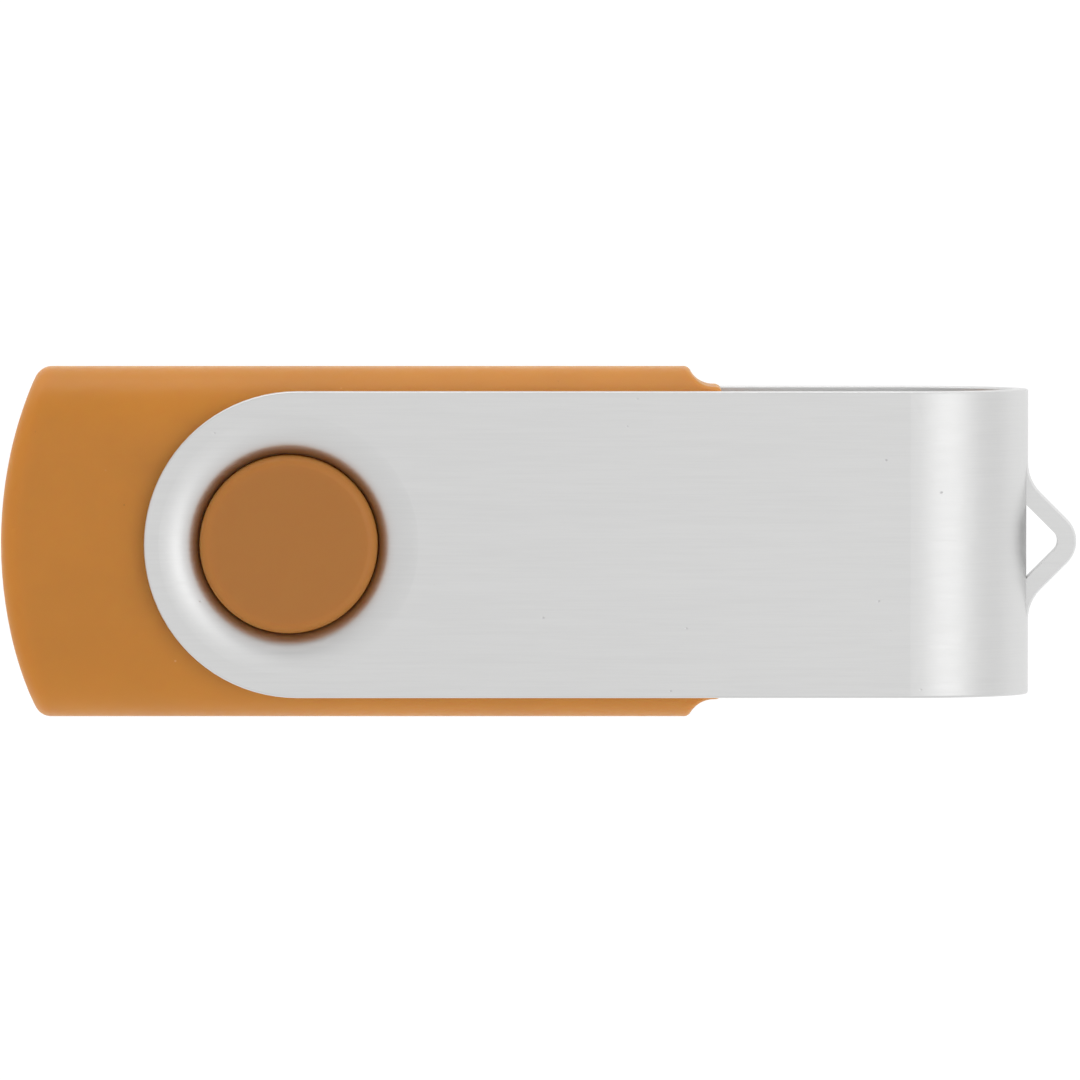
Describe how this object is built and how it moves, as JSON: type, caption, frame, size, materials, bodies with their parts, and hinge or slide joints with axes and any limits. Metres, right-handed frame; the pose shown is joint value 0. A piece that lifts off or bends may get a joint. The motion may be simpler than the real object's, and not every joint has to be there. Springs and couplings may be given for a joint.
{
  "type": "usb flash drive",
  "caption": "Pocket USB-A memory stick with a plastic case and a U-shaped brushed metal cover that swivels on a round boss, with a lanyard loop on its bend.",
  "frame": {"origin": "under the middle of the closed stick, on the outer face of the cover's back arm, which it lies on", "axes": "+X along the length towards the plug and the lanyard loop, +Y across the width, +Z through the thickness towards the front face"},
  "size_m": [0.0582, 0.019, 0.01],
  "materials": {
    "case_plastic": "moulded, satin, orange-brown",
    "cover_metal": "brushed along the length",
    "plug_metal": "bright plated sheet",
    "insulator_plastic": "moulded, black",
    "contact_gold": "gold plated",
    "board_laminate": "green solder mask",
    "chip_resin": "moulded, black",
    "lead_tin": "tin plated",
    "crystal_ceramic": "fired, brown",
    "crystal_metal": "plated lid",
    "capacitor_ceramic": "fired, tan",
    "resistor_ceramic": "glazed, black",
    "light_resin": "clear resin over white",
    "solder": "satin"
  },
  "bodies": {
    "drive": {"top_shell": "case_plastic", "bottom_shell": "case_plastic", "plug_shell": "plug_metal", "plug_insulator": "insulator_plastic", "contact_power": "contact_gold", "contact_data_minus": "contact_gold", "contact_data_plus": "contact_gold", "contact_ground": "contact_gold", "circuit_board": "board_laminate", "memory_chip": "chip_resin", "memory_chip_leads": "lead_tin", "controller_chip": "chip_resin", "controller_chip_leads": "lead_tin", "crystal_base": "crystal_ceramic", "crystal_lid": "crystal_metal", "capacitor_bodies": "capacitor_ceramic", "capacitor_ends": "lead_tin", "resistor_bodies": "resistor_ceramic", "resistor_ends": "lead_tin", "regulator": "chip_resin", "regulator_leads": "lead_tin", "status_light": "light_resin", "solder_joints": "solder"},
    "cover": {"swivel_clip": "cover_metal"}
  },
  "joints": [
    {"name": "cover_swivel", "type": "hinge", "parent": "drive", "child": "cover", "pos_m": [-0.01353, 0, 0.005], "axis": [0, 0, 1], "continuous": true}
  ]
}
